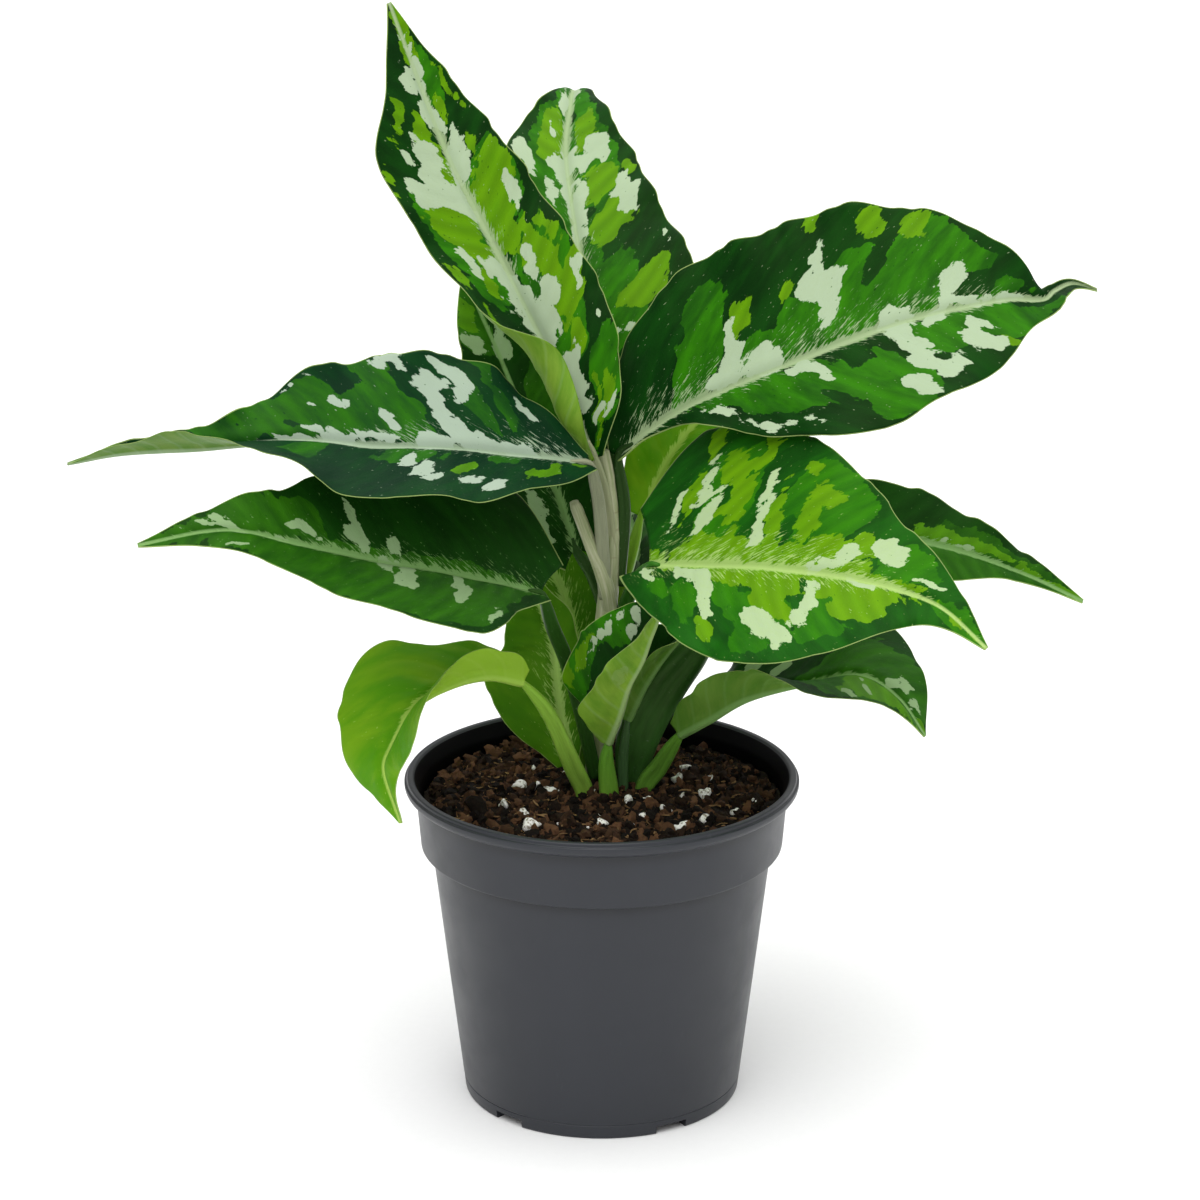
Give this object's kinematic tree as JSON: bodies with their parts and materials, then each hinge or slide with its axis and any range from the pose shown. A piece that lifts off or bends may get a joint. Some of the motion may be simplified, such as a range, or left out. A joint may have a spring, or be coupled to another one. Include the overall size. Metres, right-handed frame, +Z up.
{
  "type": "potted chinese evergreen",
  "caption": "Leafy house plant with broad variegated leaves on sheathed stalks, growing from soil in a plain tapered nursery pot.",
  "frame": {"origin": "centre of the flat underside of the pot's floor, where the pot stands", "axes": "+Z up along the pot's axis, +X to the plant's right as seen in the picture, -Y towards the viewer"},
  "size_m": [0.3066, 0.2088, 0.3393],
  "materials": {
    "pot": "matt dark slate grey moulded plastic",
    "soil": "dark brown crumbly potting mix with white perlite",
    "stem": "pale satin leaf sheaths",
    "variegated_leaf": "dark green with silver and lime patches, waxy semi-gloss",
    "lime_leaf": "lime green with pale veins, waxy semi-gloss"
  },
  "bodies": {
    "root": {"pot": "pot", "soil": "soil", "stem": "stem", "leaf_crown": "variegated_leaf", "leaf_back_upper": "variegated_leaf", "leaf_right_upper": "variegated_leaf", "leaf_left_upper": "variegated_leaf", "leaf_left_lower": "variegated_leaf", "leaf_right_front": "variegated_leaf", "leaf_right_behind": "variegated_leaf", "leaf_low_right": "variegated_leaf", "leaf_low_left": "lime_leaf", "leaf_shoot_left": "lime_leaf", "leaf_shoot_back": "lime_leaf", "leaf_shoot_front": "variegated_leaf", "leaf_shoot_right": "variegated_leaf", "leaf_back_left": "variegated_leaf", "leaf_back_right": "lime_leaf", "leaf_back_low": "variegated_leaf"}
  },
  "joints": []
}
